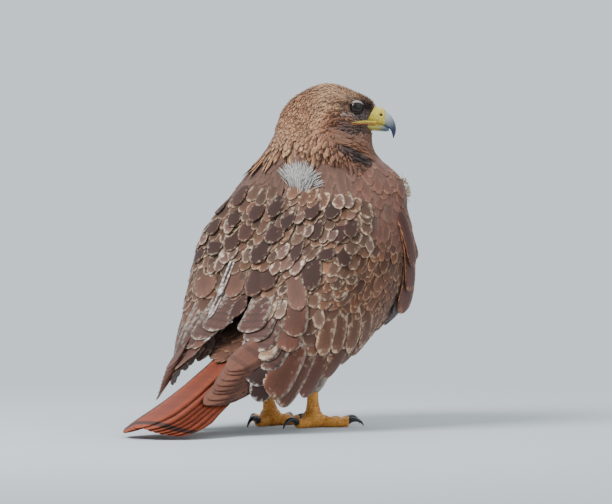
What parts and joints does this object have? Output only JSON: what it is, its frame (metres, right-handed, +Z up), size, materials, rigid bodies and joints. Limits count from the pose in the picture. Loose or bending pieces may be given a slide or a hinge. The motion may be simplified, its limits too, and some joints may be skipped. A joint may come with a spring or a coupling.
{
  "type": "red-tailed hawk",
  "caption": "Life-size hawk standing at rest, wings folded over a rufous tail laid to the ground, head turned to its right, hooked bill and taloned yellow feet.",
  "frame": {"origin": "on the ground, under the middle of the bird's outline", "axes": "+Y the way the body faces, +X to the bird's right, +Z up; the tail runs back along -Y and the head is turned 55 degrees towards +X"},
  "size_m": [0.224, 0.368, 0.3413],
  "materials": {
    "plumage": "dark brown contour feathers with paler edges",
    "breast": "buff underparts",
    "rufous_tail": "brick-red tail feathers with a dark band near the tip",
    "yellow_skin": "scaled yellow skin",
    "horn": "polished slate-black horn",
    "eye": "wet dark brown"
  },
  "bodies": {
    "root": {"head": "plumage", "neck": "plumage", "torso": "breast", "tail": "rufous_tail", "wing_right": "plumage", "wing_left": "plumage", "thigh_right": "breast", "thigh_left": "breast", "tarsus_right": "yellow_skin", "tarsus_left": "yellow_skin", "foot_right": "yellow_skin", "foot_left": "yellow_skin", "claw_right_hallux": "horn", "claw_right_inner": "horn", "claw_right_middle": "horn", "claw_right_outer": "horn", "claw_left_hallux": "horn", "claw_left_inner": "horn", "claw_left_middle": "horn", "claw_left_outer": "horn", "cere": "yellow_skin", "bill_upper": "horn", "bill_lower": "horn", "eye_right": "eye", "eye_left": "eye"}
  },
  "joints": []
}
